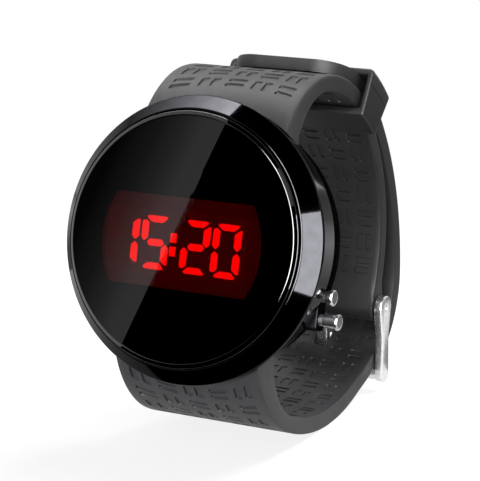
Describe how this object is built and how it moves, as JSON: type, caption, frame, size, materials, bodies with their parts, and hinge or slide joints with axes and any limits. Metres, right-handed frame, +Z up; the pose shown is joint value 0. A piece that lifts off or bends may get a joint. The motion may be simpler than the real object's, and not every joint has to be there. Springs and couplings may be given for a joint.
{
  "type": "led wristwatch",
  "caption": "Round wristwatch with a black glass face, red segmented digits, a chamfered metal case, side push buttons and a buckled silicone strap closed in a loop.",
  "frame": {"origin": "middle of the watch's bounding box, on the surface it stands on", "axes": "+Z up; +X towards the 3 o'clock side, where the push buttons are; -Y towards the face, which leans back; +Y towards the buckle"},
  "size_m": [0.042, 0.0604, 0.0562],
  "materials": {
    "polished_case": "mirror-polished black plating on steel",
    "brushed_case": "fine brushed, dark plated",
    "steel": "satin",
    "button_metal": "polished dark steel with a bright rim",
    "buckle_steel": "brushed and bright at the edges",
    "gold_contact": "gold-flashed spring strip",
    "smoked_glass": "mirror-gloss smoked glass",
    "black_print": "opaque black print",
    "red_film": "clear deep red film",
    "lit_red": "glowing red light guide",
    "dark_red": "unlit dark red light guide",
    "black_plastic": "matt moulded",
    "board": "solder-masked laminate",
    "rubber_seal": "smooth seal rubber",
    "strap_rubber": "matt charcoal silicone, debossed"
  },
  "bodies": {
    "case": {"bezel": "polished_case", "crystal": "smoked_glass", "crystal_gasket": "rubber_seal", "crystal_mask": "black_print", "window_filter": "red_film", "lit_segments": "lit_red", "dark_segments": "dark_red", "display_body": "black_plastic", "middle_case": "brushed_case", "case_back": "brushed_case", "case_back_gasket": "rubber_seal", "case_screws": "steel", "movement_holder": "black_plastic", "circuit_board": "board", "controller_chip": "black_plastic", "timing_crystal": "steel", "chip_parts": "black_plastic", "touch_spring": "gold_contact", "battery": "steel", "battery_ring": "black_plastic", "battery_positive_clip": "gold_contact", "battery_negative_contact": "gold_contact", "switch_leaves": "gold_contact", "button_seals": "rubber_seal", "upper_strap": "strap_rubber", "lower_strap": "strap_rubber", "upper_bar_tube": "steel", "upper_bar_spring": "steel", "lower_bar_tube": "steel", "lower_bar_spring": "steel", "buckle_bar_tube": "steel", "buckle_bar_spring": "steel"},
    "strap_keeper": {"keeper": "strap_rubber"},
    "buckle": {"buckle_frame": "buckle_steel"},
    "tongue": {"buckle_tongue": "buckle_steel"},
    "upper_button": {"upper_button": "button_metal", "upper_button_spring": "steel", "upper_button_retainer": "steel"},
    "lower_button": {"lower_button": "button_metal", "lower_button_spring": "steel", "lower_button_retainer": "steel"},
    "upper_bar_left_pin": {"upper_bar_left_pin": "steel"},
    "upper_bar_right_pin": {"upper_bar_right_pin": "steel"},
    "lower_bar_left_pin": {"lower_bar_left_pin": "steel"},
    "lower_bar_right_pin": {"lower_bar_right_pin": "steel"},
    "buckle_bar_left_pin": {"buckle_bar_left_pin": "steel"},
    "buckle_bar_right_pin": {"buckle_bar_right_pin": "steel"}
  },
  "joints": [
    {"name": "keeper_slide", "type": "hinge", "parent": "case", "child": "strap_keeper", "pos_m": [0, -0.00421, 0.02691], "axis": [1, 0, 0], "range_deg": [-5.5, 5.5]},
    {"name": "buckle_swing", "type": "hinge", "parent": "case", "child": "buckle", "pos_m": [0, 0.02103, 0.01391], "axis": [1, 0, 0], "range_deg": [0, 5]},
    {"name": "tongue_lift", "type": "hinge", "parent": "buckle", "child": "tongue", "pos_m": [0, 0.02103, 0.01391], "axis": [1, 0, 0], "range_deg": [0, 6]},
    {"name": "upper_button_press", "type": "slide", "parent": "case", "child": "upper_button", "axis": [-1, 0, 0], "range_m": [0, 0.0006], "stiffness_N_per_m": 800, "springref_m": -0.0008},
    {"name": "lower_button_press", "type": "slide", "parent": "case", "child": "lower_button", "axis": [-1, 0, 0], "range_m": [0, 0.0006], "stiffness_N_per_m": 800, "springref_m": -0.0008},
    {"name": "upper_bar_left_pin_slide", "type": "slide", "parent": "case", "child": "upper_bar_left_pin", "axis": [1, 0, 0], "range_m": [0, 0.0009], "stiffness_N_per_m": 400, "springref_m": -0.001},
    {"name": "upper_bar_right_pin_slide", "type": "slide", "parent": "case", "child": "upper_bar_right_pin", "axis": [-1, 0, 0], "range_m": [0, 0.0009], "stiffness_N_per_m": 400, "springref_m": -0.001},
    {"name": "lower_bar_left_pin_slide", "type": "slide", "parent": "case", "child": "lower_bar_left_pin", "axis": [1, 0, 0], "range_m": [0, 0.0009], "stiffness_N_per_m": 400, "springref_m": -0.001},
    {"name": "lower_bar_right_pin_slide", "type": "slide", "parent": "case", "child": "lower_bar_right_pin", "axis": [-1, 0, 0], "range_m": [0, 0.0009], "stiffness_N_per_m": 400, "springref_m": -0.001},
    {"name": "buckle_bar_left_pin_slide", "type": "slide", "parent": "case", "child": "buckle_bar_left_pin", "axis": [1, 0, 0], "range_m": [0, 0.0013], "stiffness_N_per_m": 400, "springref_m": -0.001},
    {"name": "buckle_bar_right_pin_slide", "type": "slide", "parent": "case", "child": "buckle_bar_right_pin", "axis": [-1, 0, 0], "range_m": [0, 0.0013], "stiffness_N_per_m": 400, "springref_m": -0.001}
  ]
}
